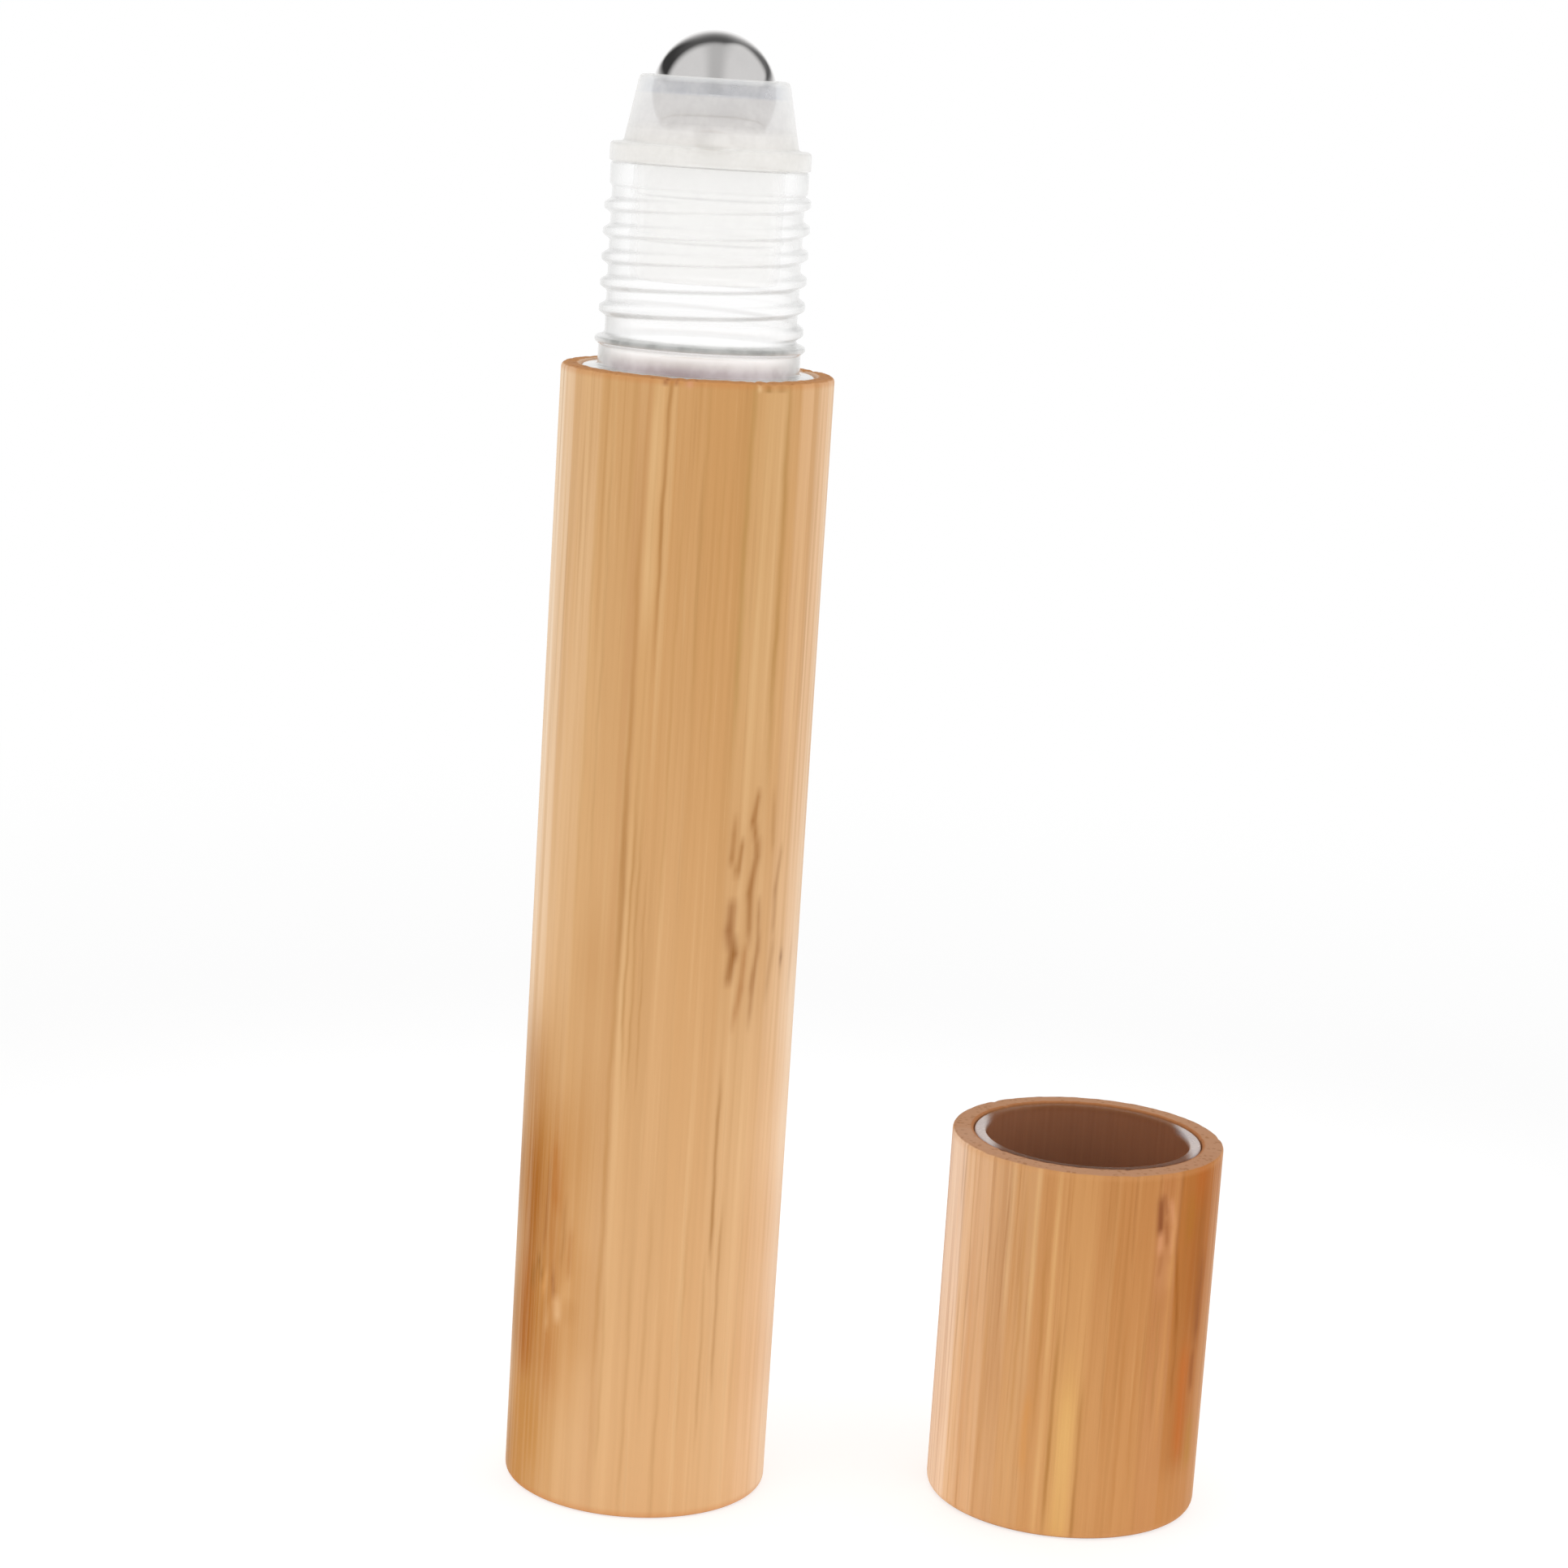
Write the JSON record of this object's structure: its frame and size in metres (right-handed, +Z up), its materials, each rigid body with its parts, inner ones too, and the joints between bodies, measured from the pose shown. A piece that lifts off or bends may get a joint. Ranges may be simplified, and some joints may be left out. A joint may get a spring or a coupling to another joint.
{
  "type": "roll on bottle",
  "caption": "Slim bamboo-sleeved roll-on bottle with a clear screw neck, a press-in roller fitment holding a steel ball, and its bamboo screw cap standing mouth up beside it.",
  "frame": {"origin": "centre of the bamboo sleeve's underside, on the surface that the bottle stands on", "axes": "+Z up along the bottle's axis, +X from the bottle towards the cap that stands beside it"},
  "size_m": [0.0535, 0.021, 0.1095],
  "materials": {
    "bamboo": "satin lacquered bamboo, fibres along the axis",
    "cap_bamboo": "satin lacquered bamboo, a little more orange than the sleeve",
    "clear_plastic": "clear moulded plastic",
    "milky_plastic": "translucent natural polyethylene",
    "ball_steel": "polished stainless steel",
    "liner_plastic": "translucent moulded plastic",
    "seal_foam": "soft white foam disc"
  },
  "bodies": {
    "bottle": {"bamboo_sleeve": "bamboo", "vial": "clear_plastic"},
    "fitment": {"roller_housing": "milky_plastic"},
    "ball": {"roller_ball": "ball_steel"},
    "cap": {"cap_shell": "cap_bamboo", "cap_liner": "liner_plastic", "cap_seal_pad": "seal_foam"}
  },
  "joints": [
    {"name": "fitment_pull", "type": "slide", "parent": "bottle", "child": "fitment", "axis": [0, 0, 1], "range_m": [0, 0.02]},
    {"name": "ball_roll", "type": "hinge", "parent": "fitment", "child": "ball", "pos_m": [0, 0, 0.10505], "axis": [1, 0, 0], "continuous": true},
    {"name": "cap_lift", "type": "slide", "parent": "bottle", "child": "cap", "axis": [0, 0, 1], "range_m": [0, 0.12]}
  ]
}
